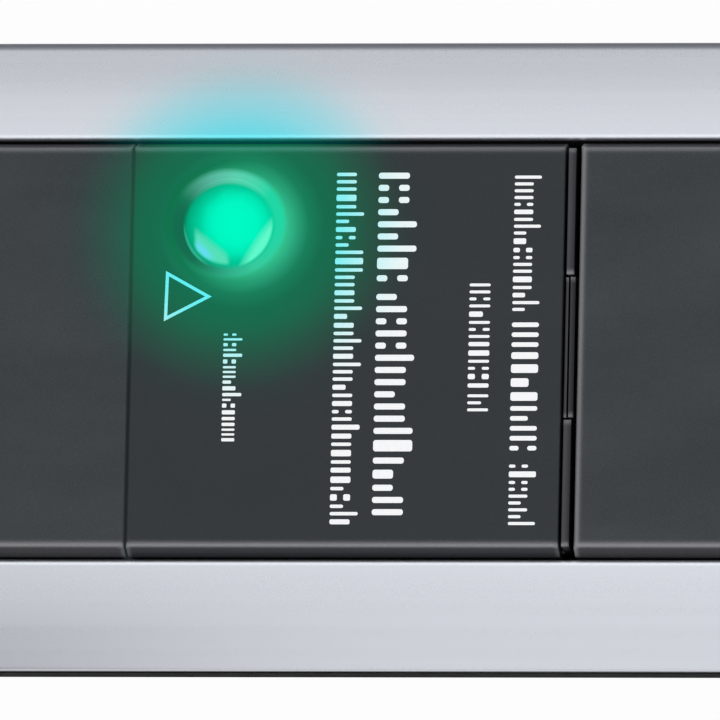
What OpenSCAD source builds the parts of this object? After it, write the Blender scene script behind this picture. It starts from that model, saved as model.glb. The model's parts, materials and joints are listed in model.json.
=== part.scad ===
// Surge protector power strip: two satin rails over a black base, and between them a switch,
// a surge arrester with an indicator lens, and five earthed sockets.
// Millimetres, +Z up, the long axis on X, the rear edge at +Y, the origin under the middle.

/* [Base and rails] */
// Width over the bead of the base
body_w = 72; // [70:0.5:80]
// Height of the module faces above the surface
face_z = 43; // [43:0.5:48]
// Thickness of the rubber feet
foot_h = 1.5; // [1:0.25:3]
// Wall and floor thickness of the base
base_wall = 2.2; // [1.8:0.1:2.6]
// Width of the flat bottom of the base
bottom_w = 60; // [56:1:62]
// Height of the rails' inner edge
rail_inner_z = 41; // [40.8:0.1:41.8]
// Height of the rails' outer edge
rail_outer_z = 36.9; // [36.5:0.1:38]
// Crown radius of the rails' top face
rail_crown = 80; // [60:5:200]
// Thickness of the rails' skin
rail_skin = 1.6; // [1.2:0.1:1.8]
// Width of the channel between the rails
channel_w = 47.8; // [47.6:0.1:48.6]

/* [Modules] */
// Gap between a module and each rail
side_gap = 0.3; // [0.3:0.05:0.6]
// How far the modules' long sides lean in below the face
side_lean = 0.9; // [0.6:0.1:1.2]
// Radius of the modules' long edges
long_edge_r = 0.25; // [0.15:0.05:0.4]
// Length of the switch module
switch_l = 50; // [48:1:60]
// Length of the surge module's face
surge_l = 48.85; // [47:0.05:56]
// Gap between the surge module's face and the first socket module
latch_gap = 1.75; // [1.6:0.05:2.5]
// Length of one socket module
socket_pitch = 50; // [50:1:60]
// Extra plain length of the first socket module
first_margin = 11; // [8:1:20]
// Length of each end cap
cap_l = 14; // [13:1:20]

/* [Sockets] */
// Radius of the plug recess
recess_r = 19.6; // [19.5:0.05:20]
// Depth of the plug recess
recess_depth = 17.5; // [17:0.5:18]
// Distance between the pins
pin_pitch = 19; // [19:0.1:19.2]
// Radius of the pin holes
pin_hole_r = 2.95; // [2.9:0.05:3]
// Travel of each safety shutter
shutter_travel = 6.5; // [6.5:0.1:6.8]

/* [Indicator and switch] */
// Radius of the recess around the lens
lens_ring_r = 6.4; // [6.2:0.05:6.8]
// Radius of the lens
lens_r = 5.15; // [5:0.05:5.2]
// Height of the lens dome
lens_rise = 2; // [1:0.1:2.5]
// Distance of the lens from the surge module's left edge
lens_x = 10.8; // [9:0.1:14]
// Distance of the lens from the centre line
lens_y = 14.1; // [12:0.1:15]
// Tilt of the rocker each way from its middle
rocker_tilt = 7; // [5:0.5:7]
// Radius of the cable inlet
inlet_r = 4.2; // [3.5:0.1:4.5]

/* [Hidden] */
$fn = 96;
fine = 720;
eps = 0.01;

// Colours
black = "#3b3f43";
silver = "#c6cad3";
brass = "#c9a24a";
steel = "#9aa0a6";
white_plastic = "#e6e4dd";
rubber = "#26282a";
live_brown = "#6b3f24";
neutral_blue = "#2d5fa8";

// Stations along X, worked out from the left end
socket_count = 5;
gland_proud = 3;
part_gap = 0.3;
sockets_l = socket_count * socket_pitch + first_margin;
total_l = gland_proud + 2 * cap_l + switch_l + part_gap + surge_l + latch_gap + sockets_l;
x_left = -total_l / 2;
x_cap = x_left + gland_proud;
x_switch = x_cap + cap_l;
x_surge = x_switch + switch_l + part_gap;
x_sockets = x_surge + surge_l + latch_gap;
x_end = x_sockets + sockets_l;
x_right = x_end + cap_l;
function socket_x(i) = x_sockets + first_margin + (i - 0.5) * socket_pitch;
function socket_start(i) = socket_x(i) - socket_pitch / 2 - (i == 1 ? first_margin : 0);
last_socket_x = socket_x(socket_count);

// End caps and cable gland
cap_wall = 2.4;
cap_head_in = 0.6;
gland_z = 20;
gland_body_r = 7;

// Levels and half widths across the strip
floor_z = foot_h + base_wall;
half_w = body_w / 2;
channel_hw = channel_w / 2;
module_hw = channel_hw - side_gap;
lean_drop = 2.5;
lean_normal = [lean_drop, side_lean] / norm([lean_drop, side_lean]);
lean_inset = side_lean + long_edge_r * (1 - lean_normal[1]) / lean_normal[0];
long_edge_c = [module_hw - lean_inset, face_z - long_edge_r];
module_wall = 1.6;
module_play = 0.05;
top_t = 2;
under_top_z = face_z - top_t;
ledge_z = 30;
ledge_t = 1.4;
ledge_in = 22.8;
rib_in = 24.8;
rib_out = 26;
bead_low_z = 32.7;
bead_top_z = 35.8;
bead_in = 34.2;
wall_top_hw = 35.2;
corner_r = 3;
bead_proud = 0.1;
rail_hw = half_w - bead_proud;

// The rails' section: two edge circles under one crown circle
rail_edge_r = 0.5;
rail_in_c = [channel_hw + rail_edge_r, rail_inner_z - rail_edge_r];
rail_out_c = [rail_hw - rail_edge_r, rail_outer_z - rail_edge_r];
rail_chord = rail_out_c - rail_in_c;
rail_half = norm(rail_chord) / 2;
rail_normal = [-rail_chord[1], rail_chord[0]] / norm(rail_chord);
crown_inner = rail_crown - rail_edge_r;
crown_depth = sqrt(crown_inner * crown_inner - rail_half * rail_half);
crown_c = (rail_in_c + rail_out_c) / 2 - rail_normal * crown_depth;
flange_t = 1.4;
port_c = [28.6, 35.9];
port_r = 1.4;
port_wall = 1.1;

// Screws
screw_r = 1.25;
screw_gap = 0.05;
boss_r = 3.2;
boss_foot_z = foot_h + 8;
head_r = 2.8;
head_h = 2;
head_seat_z = foot_h + 5;
module_screw_top = 20;
pillar_r = 4.2;
boss_in = 4.2;
boss_y = 18.5;

// Sockets, each with its pin line turned from the long axis
socket_turn = 45;
recess_floor_z = face_z - recess_depth;
well_wall = 1.6;
well_floor_t = 3;
well_bottom_z = recess_floor_z - well_floor_t;
flat_u = 17.6;
guide_w = 4.5;
guide_t = 1.5;
pin_xy = pin_pitch / 2 * cos(socket_turn);
clip_v = 18.2;
clip_w = 6;
strip_t = 0.8;
earth_z = floor_z + 0.2;
earth_top_z = earth_z + strip_t;
bar_bottom_z = 7;
bar_top_z = 16;
bar_y = 9.4;
leaf_y = 3.4;
leaf_half = 4;
carrier_z = 16.6;
carrier_t = 1.6;
carrier_top_z = carrier_z + carrier_t;
carrier_hw = 11.9;
carrier_leg = 1.2;
shutter_gap = 0.3;
shutter_hw = 13.2;
shutter_top_v = 3.9;
shutter_hole_r = 3.15;
shutter_low_v = -shutter_travel - shutter_hole_r - 1.5;
spring_seat_v = 14.4;
spring_r = 1.4;
spring_wire_r = 0.25;
spring_turns = 5;

// Surge module
board_x0 = x_surge + 8.8;
board_l = 31;
board_hw = 21;
board_z = 8;
board_t = 1.6;
board_top = board_z + board_t;
board_x1 = board_x0 + board_l;
varistor_r = 8.5;
varistor_t = 4.6;
lens_base_z = face_z - 0.8;
lens_flange_r = 6.6;

// Where each module's two screws stand, on a diagonal, and the board's three
function diagonal(x0, x1) = [[x0 + boss_in, -boss_y], [x1 - boss_in, boss_y]];
socket_boss_dx = socket_pitch / 2 - boss_in;
function socket_screws(i) = [for (s = [-1, 1]) [socket_x(i) + s * socket_boss_dx, -s * boss_y]];
switch_screws = diagonal(x_switch, x_switch + switch_l);
surge_screws = diagonal(x_surge, x_surge + surge_l);
all_socket_screws = [for (i = [1:socket_count]) each socket_screws(i)];
screw_places = concat(switch_screws, surge_screws, all_socket_screws);
board_in = 3.5;
board_screw_places = [
    [board_x0 + board_in, board_in - board_hw],
    [board_x1 - board_in, board_in - board_hw],
    [board_x1 - board_in, board_hw - board_in]
];

// Rim and latch in the gap at the right of the surge module
groove_w = 0.35;
rim_w = 0.85;
rim_drop = 0.35;
groove_depth = 1.2;
latch_hw = 8;
latch_shift = 0.5;
latch_bar_w = 0.55;
latch_slit = 0.3;

// Switch
switch_x = x_surge - part_gap - 31;
switch_half = 12.9;
switch_hw = 9.7;
cavity_half = 11.3;
cavity_hw = 8.2;
bezel_w = 1.4;
bezel_h = 0.9;
switch_low_z = 19;
cavity_z = 32;
pivot_z = 39.5;
pivot_r = 1.5;
pivot_gap = 0.05;
rocker_half = 10.3;
rocker_hw = 8;
tab_z = 12.5;
tab_w = 6.3;
tab_half = 6;
tab_y = 5;

// Terminal block and wires
terminal_x = x_switch + 1.5;
terminal_l = 9.5;
terminal_end = terminal_x + terminal_l;
terminal_z = 8.5;
wire_r = 1.1;
tab_foot_z = tab_z - 0.05;
wire_on_board_z = board_top + wire_r + 0.05;

// Keyholes for hanging on a wall, the rear edge uppermost
keyhole_r = 4.5;
keyhole_slot_r = 2.3;
keyhole_run = 8;
keyhole_y = 0;
keyhole_left_x = switch_x + 10.5;
keyhole_right_x = last_socket_x + 18;
pocket_half = 5.7;
pocket_z = 7;
pocket_wall = 1.2;

// Feet
foot_r = 5;
foot_x = 165;
foot_y = 22;

// Basic shapes

// Extrudes a (Y, Z) section from x0 to x1
module along_x(x0, x1) {
    translate([x0, 0, 0]) rotate([90, 0, 90]) linear_extrude(x1 - x0) children();
}

// Extrudes an (X, Z) section from y0 to y1
module along_y(y0, y1) {
    translate([0, y1, 0]) rotate([90, 0, 0]) linear_extrude(y1 - y0) children();
}

module box(low, high) {
    translate(low) cube(high - low);
}

// Places children in a socket's own axes: u along the pin line, v across it
module at_socket(i) {
    translate([socket_x(i), 0, 0]) rotate([0, 0, socket_turn]) children();
}

module both_ways() {
    children();
    rotate([0, 0, 180]) children();
}

// A rectangle with two rounded upper corners, in its own plane
module topped(half, low, high, r) {
    translate([-half, low]) square([2 * half, high - r - low]);
    translate([-half + r, low]) square([2 * (half - r), high - low]);
    for (side = [-1, 1]) translate([side * (half - r), high - r]) circle(r = r);
}

// Upright cylinders from z0 to z1 at a list of places
module pillars(places, r, z0, z1) {
    for (p = places) translate([p[0], p[1], z0]) cylinder(r = r, h = z1 - z0);
}

// A round bar between two points
module bar_between(a, b, r) {
    run = b - a;
    turn = [0, acos(run[2] / norm(run)), atan2(run[1], run[0])];
    translate(a) rotate(turn) cylinder(r = r, h = norm(run), $fn = 32);
}

// A wire along a list of points
module wire_run(points, r) {
    for (i = [0:len(points) - 2]) bar_between(points[i], points[i + 1], r);
    for (i = [1:len(points) - 2]) translate(points[i]) sphere(r = r * 1.04, $fn = 32);
}

// A screw with its head at z = 0 and its shank upwards, with a cross recess
module screw(head, shank, length) {
    recess_w = 0.9;
    recess_l = head * 1.2;
    difference() {
        union() {
            translate([0, 0, -head_h]) cylinder(r = head, h = head_h, $fn = 48);
            cylinder(r = shank, h = length, $fn = 32);
        }
        for (a = [0, 90]) rotate([0, 0, a]) translate([-recess_l / 2, -recess_w / 2, -head_h - eps]) {
            cube([recess_l, recess_w, 1.1]);
        }
    }
}

// Sections

function dir(a) = [cos(a), sin(a)];
function arc(c, r, a0, a1, n) = [for (k = [0:n]) c + r * dir(a0 + (a1 - a0) * k / n)];
function backwards(points) = [for (k = [len(points) - 1:-1:0]) points[k]];
function mirrored(points) = concat(points, [for (p = backwards(points)) [-p[0], p[1]]]);

module base_outline() {
    low_c = [bottom_w / 2 - corner_r, foot_h + corner_r];
    bead = [[wall_top_hw, bead_low_z], [half_w, bead_low_z], [half_w, bead_top_z]];
    polygon(mirrored(concat(arc(low_c, corner_r, -90, -10, 6), bead)));
}

module base_cavity() {
    inner_r = corner_r - 1.2;
    low_c = [bottom_w / 2 - corner_r - 0.9, floor_z + inner_r];
    wall_top = [wall_top_hw - base_wall, bead_low_z];
    top = [wall_top, [bead_in, bead_top_z - 1], [bead_in, bead_top_z + 1]];
    polygon(mirrored(concat(arc(low_c, inner_r, -90, -10, 5), top)));
}

// The wedge from the crown's centre through the two edge circles
module crown_wedge() {
    reach = 1.2 * rail_crown / crown_inner;
    outer = crown_c + reach * (rail_out_c - crown_c);
    inner = crown_c + reach * (rail_in_c - crown_c);
    polygon([crown_c, outer, inner]);
}

module rail_section() {
    intersection() {
        difference() {
            translate(crown_c) circle(r = rail_crown, $fn = fine);
            translate(crown_c) circle(r = rail_crown - rail_skin, $fn = fine);
        }
        crown_wedge();
        translate([0, bead_top_z]) square([half_w, face_z]);
    }
    translate(rail_in_c) circle(r = rail_edge_r, $fn = 48);
    translate(rail_out_c) circle(r = rail_edge_r, $fn = 48);
    translate([channel_hw, ledge_z]) square([flange_t, rail_in_c[1] - ledge_z]);
    translate([bead_in, bead_top_z]) square([rail_hw - bead_in, rail_out_c[1] - bead_top_z]);
    difference() {
        translate(port_c) circle(r = port_r + port_wall);
        translate(port_c) circle(r = port_r);
    }
}

// The solid outline of base and rails together, as the end caps follow it
module cap_outline() {
    base_outline();
    for (side = [0, 1]) mirror([side, 0]) {
        intersection() {
            translate(crown_c) circle(r = rail_crown, $fn = fine);
            crown_wedge();
            translate([channel_hw, bead_low_z]) square([half_w, face_z]);
        }
        translate(rail_in_c) circle(r = rail_edge_r, $fn = 48);
        translate(rail_out_c) circle(r = rail_edge_r, $fn = 48);
        translate([bead_in, bead_low_z]) square([rail_hw - bead_in, rail_out_c[1] - bead_low_z]);
    }
    middle = [2 * rail_in_c[0], rail_inner_z - bead_low_z];
    translate([-middle[0] / 2, bead_low_z]) square(middle);
}

// Base

module keyhole(x) {
    slot_end = keyhole_y + keyhole_run;
    translate([x, keyhole_y, foot_h - 1]) cylinder(r = keyhole_r, h = base_wall + 2);
    translate([x, slot_end, foot_h - 1]) cylinder(r = keyhole_slot_r, h = base_wall + 2);
    box([x - keyhole_slot_r, keyhole_y, foot_h - 1], [x + keyhole_slot_r, slot_end, floor_z + 1]);
}

module keyhole_pocket(x) {
    low_y = keyhole_y - keyhole_r - 0.8;
    high_y = keyhole_y + keyhole_run + keyhole_slot_r + 0.8;
    wall = [pocket_wall, pocket_wall, 0];
    low = [x - pocket_half, low_y, floor_z];
    high = [x + pocket_half, high_y, pocket_z];
    difference() {
        box(low - wall - [0, 0, eps], high + wall + [0, 0, pocket_wall]);
        box(low - [0, 0, 1], high);
    }
}

module base_tray() {
    color(black) difference() {
        union() {
            along_x(x_switch, x_end) difference() {
                base_outline();
                base_cavity();
            }
            for (side = [0, 1]) mirror([0, side, 0]) {
                box([x_switch, rib_in, floor_z - eps], [x_end, rib_out, ledge_z]);
                box([x_switch, ledge_in, ledge_z - ledge_t], [x_end, rib_out, ledge_z]);
            }
            pillars(screw_places, pillar_r, foot_h, boss_foot_z);
            pillars(board_screw_places, 3, foot_h, board_z);
            keyhole_pocket(keyhole_left_x);
            keyhole_pocket(keyhole_right_x);
        }
        pillars(screw_places, head_r + 0.3, 0, head_seat_z);
        pillars(screw_places, screw_r + 0.5, 0, boss_foot_z + 1);
        pillars(board_screw_places, 1.1, floor_z + 0.5, board_z + 1);
        keyhole(keyhole_left_x);
        keyhole(keyhole_right_x);
    }
}

module rail() {
    along_x(x_switch, x_end) rail_section();
}

module rail_rear() {
    color(silver) rail();
}

module rail_front() {
    color(silver) mirror([0, 1, 0]) rail();
}

// The rounded block that an end cap is cut from, its outer end at x = 0 and its body at +X
module cap_block() {
    end_r = 5;
    plan_r = 6;
    reach = cap_l + end_r;
    intersection() {
        along_x(0, cap_l) cap_outline();
        along_y(-half_w - 1, half_w + 1) union() {
            translate([0, foot_h - 1]) square([reach, rail_inner_z - end_r - foot_h + 1]);
            translate([end_r, foot_h - 1]) square([reach, face_z]);
            translate([end_r, rail_inner_z - end_r]) circle(r = end_r);
        }
        linear_extrude(face_z) union() {
            translate([plan_r, -half_w]) square([reach, body_w]);
            translate([0, -half_w + plan_r]) square([reach, body_w - 2 * plan_r]);
            for (side = [-1, 1]) translate([plan_r, side * (half_w - plan_r)]) circle(r = plan_r);
        }
    }
}

// Cylinders along X on the screw ports' axes
module cap_bores(x0, x1, r) {
    for (side = [-1, 1]) along_x(x0, x1) translate([side * port_c[0], port_c[1]]) circle(r = r);
}

module end_cap() {
    cavity = [[24, floor_z], [31.5, bead_low_z], [32, 34.6], [24, 38.2]];
    difference() {
        cap_block();
        difference() {
            intersection() {
                along_x(cap_wall, cap_l + 1) polygon(mirrored(cavity));
                linear_extrude(face_z) union() {
                    translate([6.5, -half_w]) square([cap_l, body_w]);
                    translate([cap_wall, -half_w + 8]) square([cap_l, body_w - 16]);
                }
            }
            cap_bores(0, cap_l, boss_r);
        }
        cap_bores(-1, cap_l + 1, port_r + 0.2);
        cap_bores(-1, head_h + cap_head_in, head_r + 0.2);
    }
}

module end_cap_left() {
    color(black) translate([x_cap, 0, 0]) difference() {
        end_cap();
        translate([-1, 0, gland_z]) rotate([0, 90, 0]) cylinder(r = gland_body_r + 0.05, h = cap_wall + 2);
    }
}

module end_cap_right() {
    color(black) translate([x_right, 0, 0]) mirror([1, 0, 0]) end_cap();
}

// A ring that lines the cable inlet, with a collar outside and a lip inside
module cable_gland() {
    collar_r = 9;
    lip_x = gland_proud + cap_wall;
    color(rubber) translate([x_left, 0, gland_z]) rotate([0, 90, 0]) difference() {
        union() {
            cylinder(r1 = collar_r - 1, r2 = collar_r, h = 1);
            translate([0, 0, 1]) cylinder(r = collar_r, h = gland_proud - 1);
            cylinder(r = gland_body_r, h = lip_x + 5);
            translate([0, 0, lip_x]) cylinder(r = collar_r - 0.5, h = 1.5);
        }
        translate([0, 0, -1]) cylinder(r = inlet_r, h = 20);
    }
}

// Modules

// A module's section across the strip, its sides leaning in towards the face
module module_section() {
    side = [[module_hw, ledge_z], [module_hw, face_z - lean_drop]];
    polygon(mirrored(concat(side, [long_edge_c + long_edge_r * lean_normal, [long_edge_c[0], face_z]])));
    for (turn = [-1, 1]) translate([turn * long_edge_c[0], long_edge_c[1]]) circle(r = long_edge_r, $fn = 48);
}

// A module's shell from x0 to x1, open below, with softened upper edges
module module_shell(x0, x1, end_r) {
    half = (x1 - x0) / 2;
    middle = (x0 + x1) / 2;
    difference() {
        intersection() {
            along_x(x0, x1) module_section();
            translate([middle, 0, 0]) along_y(-module_hw, module_hw) {
                topped(half, ledge_z, face_z, end_r);
            }
        }
        inner_hw = module_hw - module_wall;
        box([x0 + module_wall, -inner_hw, ledge_z - 1], [x1 - module_wall, inner_hw, under_top_z]);
    }
}

module screw_bosses(places) {
    pillars(places, boss_r, boss_foot_z, under_top_z + eps);
}

module screw_bores(places) {
    pillars(places, screw_r + screw_gap, boss_foot_z - 1, module_screw_top + 1);
}

module switch_cover() {
    window = [switch_half + 0.1, switch_hw + 0.1, face_z + 1];
    color(black) difference() {
        union() {
            module_shell(x_switch, x_switch + switch_l, 0.2);
            screw_bosses(switch_screws);
        }
        screw_bores(switch_screws);
        translate([switch_x, 0, 0]) box([-window[0], -window[1], under_top_z - 1], window);
    }
}

// The rim beyond the surge module's face, cut by two slits that free the latch between them
module latch_rim() {
    rim_x = x_surge + surge_l + groove_w;
    low_z = face_z - 5;
    rim_z = face_z - rim_drop;
    end_y = module_hw - 0.9;
    latch_x = rim_x + latch_shift;
    box([rim_x - groove_w - module_wall, -end_y, low_z - 2], [rim_x + rim_w, end_y, low_z]);
    for (side = [0, 1]) mirror([0, side, 0]) {
        box([rim_x, latch_hw + latch_slit, low_z - eps], [rim_x + rim_w, end_y, rim_z]);
    }
    box([latch_x, -latch_hw, low_z - eps], [latch_x + latch_bar_w, latch_hw, rim_z]);
    box([rim_x - 0.05, -latch_hw, low_z - eps], [rim_x + 0.25, latch_hw, rim_z - 0.3]);
}

module surge_cover() {
    hole_r = lens_r + 0.1;
    ring_h = face_z - lens_base_z;
    color(black) difference() {
        union() {
            module_shell(x_surge, x_surge + surge_l, 0.2);
            screw_bosses(surge_screws);
            latch_rim();
        }
        screw_bores(surge_screws);
        translate([x_surge + lens_x, lens_y, 0]) {
            translate([0, 0, under_top_z - 1]) cylinder(r = hole_r, h = top_t + 2);
            translate([0, 0, lens_base_z]) cylinder(r1 = hole_r, r2 = lens_ring_r, h = ring_h);
            translate([0, 0, face_z - eps]) cylinder(r = lens_ring_r, h = 1);
        }
    }
}

// The plug's round recess with its two flats
module plug_recess() {
    intersection() {
        translate([0, 0, recess_floor_z]) cylinder(r = recess_r, h = face_z);
        box([-flat_u, -recess_r - 1, recess_floor_z], [flat_u, recess_r + 1, face_z + 1]);
    }
}

// One of the two ribs that guide the plug, on a flat of the recess
module plug_guide() {
    half = guide_w / 2;
    box([flat_u - guide_t, -half, recess_floor_z - eps], [flat_u + eps, half, face_z - 1]);
}

// A rib under the recess floor, down to the contact carrier
module under_box(low, high) {
    box([low[0], low[1], carrier_top_z], [high[0], high[1], well_bottom_z + eps]);
}

module socket_module(i) {
    x0 = socket_start(i) + (i == 1 ? 0 : module_play);
    x1 = socket_x(i) + socket_pitch / 2 - module_play;
    slot_hw = clip_w / 2 + 0.3;
    rail_t = 1.5;
    well_top_z = under_top_z + eps;
    color(black) difference() {
        union() {
            difference() {
                union() {
                    module_shell(x0, x1, 0.6);
                    screw_bosses(socket_screws(i));
                    pillars([[socket_x(i), 0]], recess_r + well_wall, well_bottom_z, well_top_z);
                }
                at_socket(i) plug_recess();
            }
            at_socket(i) {
                both_ways() plug_guide();
                both_ways() under_box([shutter_hw + 0.2, -14], [shutter_hw + 0.2 + rail_t, 14]);
                under_box([-4, spring_seat_v], [4, spring_seat_v + rail_t]);
            }
        }
        screw_bores(socket_screws(i));
        at_socket(i) both_ways() {
            pillars([[pin_pitch / 2, 0]], pin_hole_r, well_bottom_z - 1, recess_floor_z + 1);
            translate([0, clip_v, 0]) box(
                [-slot_hw, -1.2, well_bottom_z - 1],
                [slot_hw, strip_t + 0.3, recess_floor_z + 1]
            );
        }
    }
}

// Contacts

// A springy strip that stands up from z0 to z1 and leans by bow at its narrowest
module strip_section(z0, z1, bow) {
    rise = z1 - z0;
    path = [[0, z0], [0, z0 + rise * 0.62], [-bow, z0 + rise * 0.85], [-bow * 0.2, z1]];
    polygon(concat(path, [for (p = backwards(path)) p + [strip_t, 0]]));
}

// A bar on edge with a foot and a clip for one pin of each socket, side says which pin
module busbar(side) {
    tab_x = board_x1 - 4;
    clip_dx = side * pin_xy;
    bar_end = last_socket_x + clip_dx + leaf_half;
    foot_top_z = bar_bottom_z + strip_t;
    box([tab_x, bar_y, board_top], [x_sockets + 2, bar_y + strip_t, bar_top_z]);
    box([x_sockets + 1, bar_y, bar_bottom_z], [bar_end, bar_y + strip_t, bar_top_z]);
    for (i = [1:socket_count]) translate([socket_x(i) + clip_dx, 0, 0]) {
        box([-leaf_half, leaf_y, bar_bottom_z], [leaf_half, bar_y + eps, foot_top_z]);
        translate([0, leaf_y + strip_t, 0]) rotate([0, 0, 180]) along_x(-leaf_half, leaf_half) {
            strip_section(bar_bottom_z + eps, bar_top_z, 0.45);
        }
    }
}

module live_busbar() {
    color(brass) busbar(1);
}

module neutral_busbar() {
    color(brass) mirror([0, 1, 0]) busbar(-1);
}

module earth_bar() {
    clip_top_z = face_z - 2.5;
    clip_half = clip_w / 2;
    color(brass) {
        box([board_x1 - 4, -3, earth_z], [last_socket_x + 3, 3, earth_top_z]);
        for (i = [1:socket_count]) at_socket(i) both_ways() {
            box([-clip_half, 0, earth_z], [clip_half, clip_v + strip_t, earth_top_z]);
            translate([0, clip_v, 0]) along_x(-clip_half, clip_half) {
                strip_section(earth_z, clip_top_z, 1.8);
            }
        }
    }
}

module contact_carrier() {
    x0 = x_sockets + 3;
    x1 = last_socket_x + 11;
    leg_y = carrier_hw - carrier_leg;
    slot_hw = clip_w / 2 + 0.6;
    slot_end = clip_v + 2;
    color(white_plastic) difference() {
        union() {
            box([x0, -carrier_hw, carrier_z], [x1, carrier_hw, carrier_top_z]);
            for (side = [0, 1]) mirror([0, side, 0]) {
                box([x0, leg_y, floor_z], [x1, carrier_hw, carrier_z + eps]);
            }
            box([x0, -0.8, earth_top_z + 0.2], [x1, 0.8, carrier_z + eps]);
        }
        for (i = [1:socket_count]) at_socket(i) both_ways() {
            pillars([[pin_pitch / 2, 0]], pin_hole_r, carrier_z - 1, carrier_top_z + 1);
            box([-slot_hw, 0, floor_z - 1], [slot_hw, slot_end, earth_top_z + 0.6]);
            box([-slot_hw, clip_v - 2.4, floor_z - 1], [slot_hw, slot_end, carrier_top_z + 1]);
        }
    }
}

module shutter(i) {
    z0 = carrier_top_z + shutter_gap;
    z1 = well_bottom_z - shutter_gap;
    holes = [for (side = [-1, 1]) [side * pin_pitch / 2, -shutter_travel]];
    color(white_plastic) at_socket(i) difference() {
        box([-shutter_hw, shutter_low_v, z0], [shutter_hw, shutter_top_v, z1]);
        pillars(holes, shutter_hole_r, z0 - 1, z1 + 1);
    }
}

// The return spring: a round wire swept along a helix by its rings
module shutter_spring(i) {
    steps = 8;
    sides = 6;
    first_v = shutter_top_v + spring_wire_r + 0.05;
    last_v = spring_seat_v - spring_wire_r - 0.05;
    rings = spring_turns * steps;
    climb = (last_v - first_v) / rings;
    mid_z = (carrier_top_z + well_bottom_z) / 2;
    along = [0, 1, 0];
    function out(k) = [cos(360 * k / steps), 0, sin(360 * k / steps)];
    function centre(k) = spring_r * out(k) + climb * k * along;
    function spoke(k, s) = cos(360 * s / sides) * out(k) + sin(360 * s / sides) * along;
    function ring(k) = [for (s = [0:sides - 1]) centre(k) + spring_wire_r * spoke(k, s)];
    points = [for (k = [0:rings]) each ring(k)];
    function next(s) = (s + 1) % sides;
    function quad(a, b) = [[a, a + sides, b + sides], [a, b + sides, b]];
    pairs = [for (k = [0:rings - 1], s = [0:sides - 1]) [k * sides + s, k * sides + next(s)]];
    walls = [for (p = pairs) each quad(p[0], p[1])];
    ends = [[for (s = [0:sides - 1]) s], [for (s = [sides - 1:-1:0]) rings * sides + s]];
    color(steel) at_socket(i) translate([0, first_v, mid_z]) {
        polyhedron(points, concat(walls, ends));
    }
}

// Surge arrester parts

module lens() {
    sphere_r = (lens_r * lens_r + lens_rise * lens_rise) / (2 * lens_rise);
    flange_z = under_top_z - 1.25;
    color("#00e6a8") translate([x_surge + lens_x, lens_y, 0]) difference() {
        union() {
            translate([0, 0, flange_z]) cylinder(r = lens_flange_r, h = 1.2);
            translate([0, 0, flange_z]) cylinder(r = lens_r, h = lens_base_z - flange_z);
            intersection() {
                translate([0, 0, lens_base_z + lens_rise - sphere_r]) sphere(r = sphere_r);
                translate([0, 0, lens_base_z - eps]) cylinder(r = lens_r, h = lens_rise + 1);
            }
        }
        translate([0, 0, flange_z - 1]) cylinder(r = 4, h = 2);
    }
}

module indicator_led() {
    led_r = 2.5;
    flange_z = 30;
    dome_z = 36.2;
    lead = 0.25;
    color("#c8f5e6") translate([x_surge + lens_x, lens_y, 0]) {
        translate([0, 0, flange_z]) cylinder(r = 2.9, h = 1);
        translate([0, 0, flange_z]) cylinder(r = led_r, h = dome_z - flange_z);
        intersection() {
            translate([0, 0, dome_z]) sphere(r = led_r);
            translate([0, 0, dome_z - eps]) cylinder(r = led_r, h = 4);
        }
        for (side = [-1, 1]) translate([side * 1.27, 0, 0]) {
            box([-lead, -lead, board_top], [lead, lead, flange_z + eps]);
        }
    }
}

module surge_board() {
    color("#1f6b45") difference() {
        box([board_x0, -board_hw, board_z], [board_x1, board_hw, board_top]);
        pillars(board_screw_places, 1.3, board_z - 1, board_top + 1);
    }
}

module varistor(n) {
    centre_z = board_top + 1.5 + varistor_r;
    color("#2f5fae") translate([board_x0 + 0.5 + 7.5 * n, -8, 0]) {
        translate([-varistor_t / 2, 0, centre_z]) rotate([0, 90, 0]) {
            cylinder(r = varistor_r, h = varistor_t);
        }
        pillars([[-0.8, -3.75], [0.8, 3.75]], 0.4, board_top, board_top + 5);
    }
}

// A round body on bent leads, as a fuse or a gas tube sits on a board
module axial_part(body_r, body_l, lead_r, axis_z) {
    reach = body_l / 2 + 2;
    rotate_to_x = [0, 90, 0];
    translate([-body_l / 2, 0, axis_z]) rotate(rotate_to_x) cylinder(r = body_r, h = body_l);
    translate([-reach, 0, axis_z]) rotate(rotate_to_x) cylinder(r = lead_r, h = 2 * reach, $fn = 24);
    for (side = [-1, 1]) translate([side * reach, 0, 0]) {
        translate([0, 0, board_top]) cylinder(r = lead_r, h = axis_z - board_top, $fn = 24);
        translate([0, 0, axis_z]) sphere(r = lead_r * 1.05, $fn = 24);
    }
}

module thermal_fuse() {
    color(steel) translate([board_x0 + 15.5, 4.5, 0]) axial_part(2, 8, 0.35, 13);
}

module gas_tube() {
    color("#d9d4c8") translate([board_x0 + 15.5, 13, 0]) axial_part(4, 6, 0.5, 14.4);
}

module capacitor() {
    x0 = board_x0 + 22.2;
    color("#b8a234") box([x0, 2, board_top], [x0 + 4.5, 14.5, board_top + 11]);
}

module terminal_block() {
    color(white_plastic) difference() {
        box([terminal_x, -8, floor_z], [terminal_end, 8, floor_z + 10]);
        for (y = [-tab_y, 0, tab_y]) {
            translate([terminal_x - 1, y, terminal_z]) rotate([0, 90, 0]) cylinder(r = 1.4, h = 4);
            pillars([[terminal_x + terminal_l / 2, y]], 1.6, terminal_z + 2, terminal_z + 12);
        }
    }
}

// Switch

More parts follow.
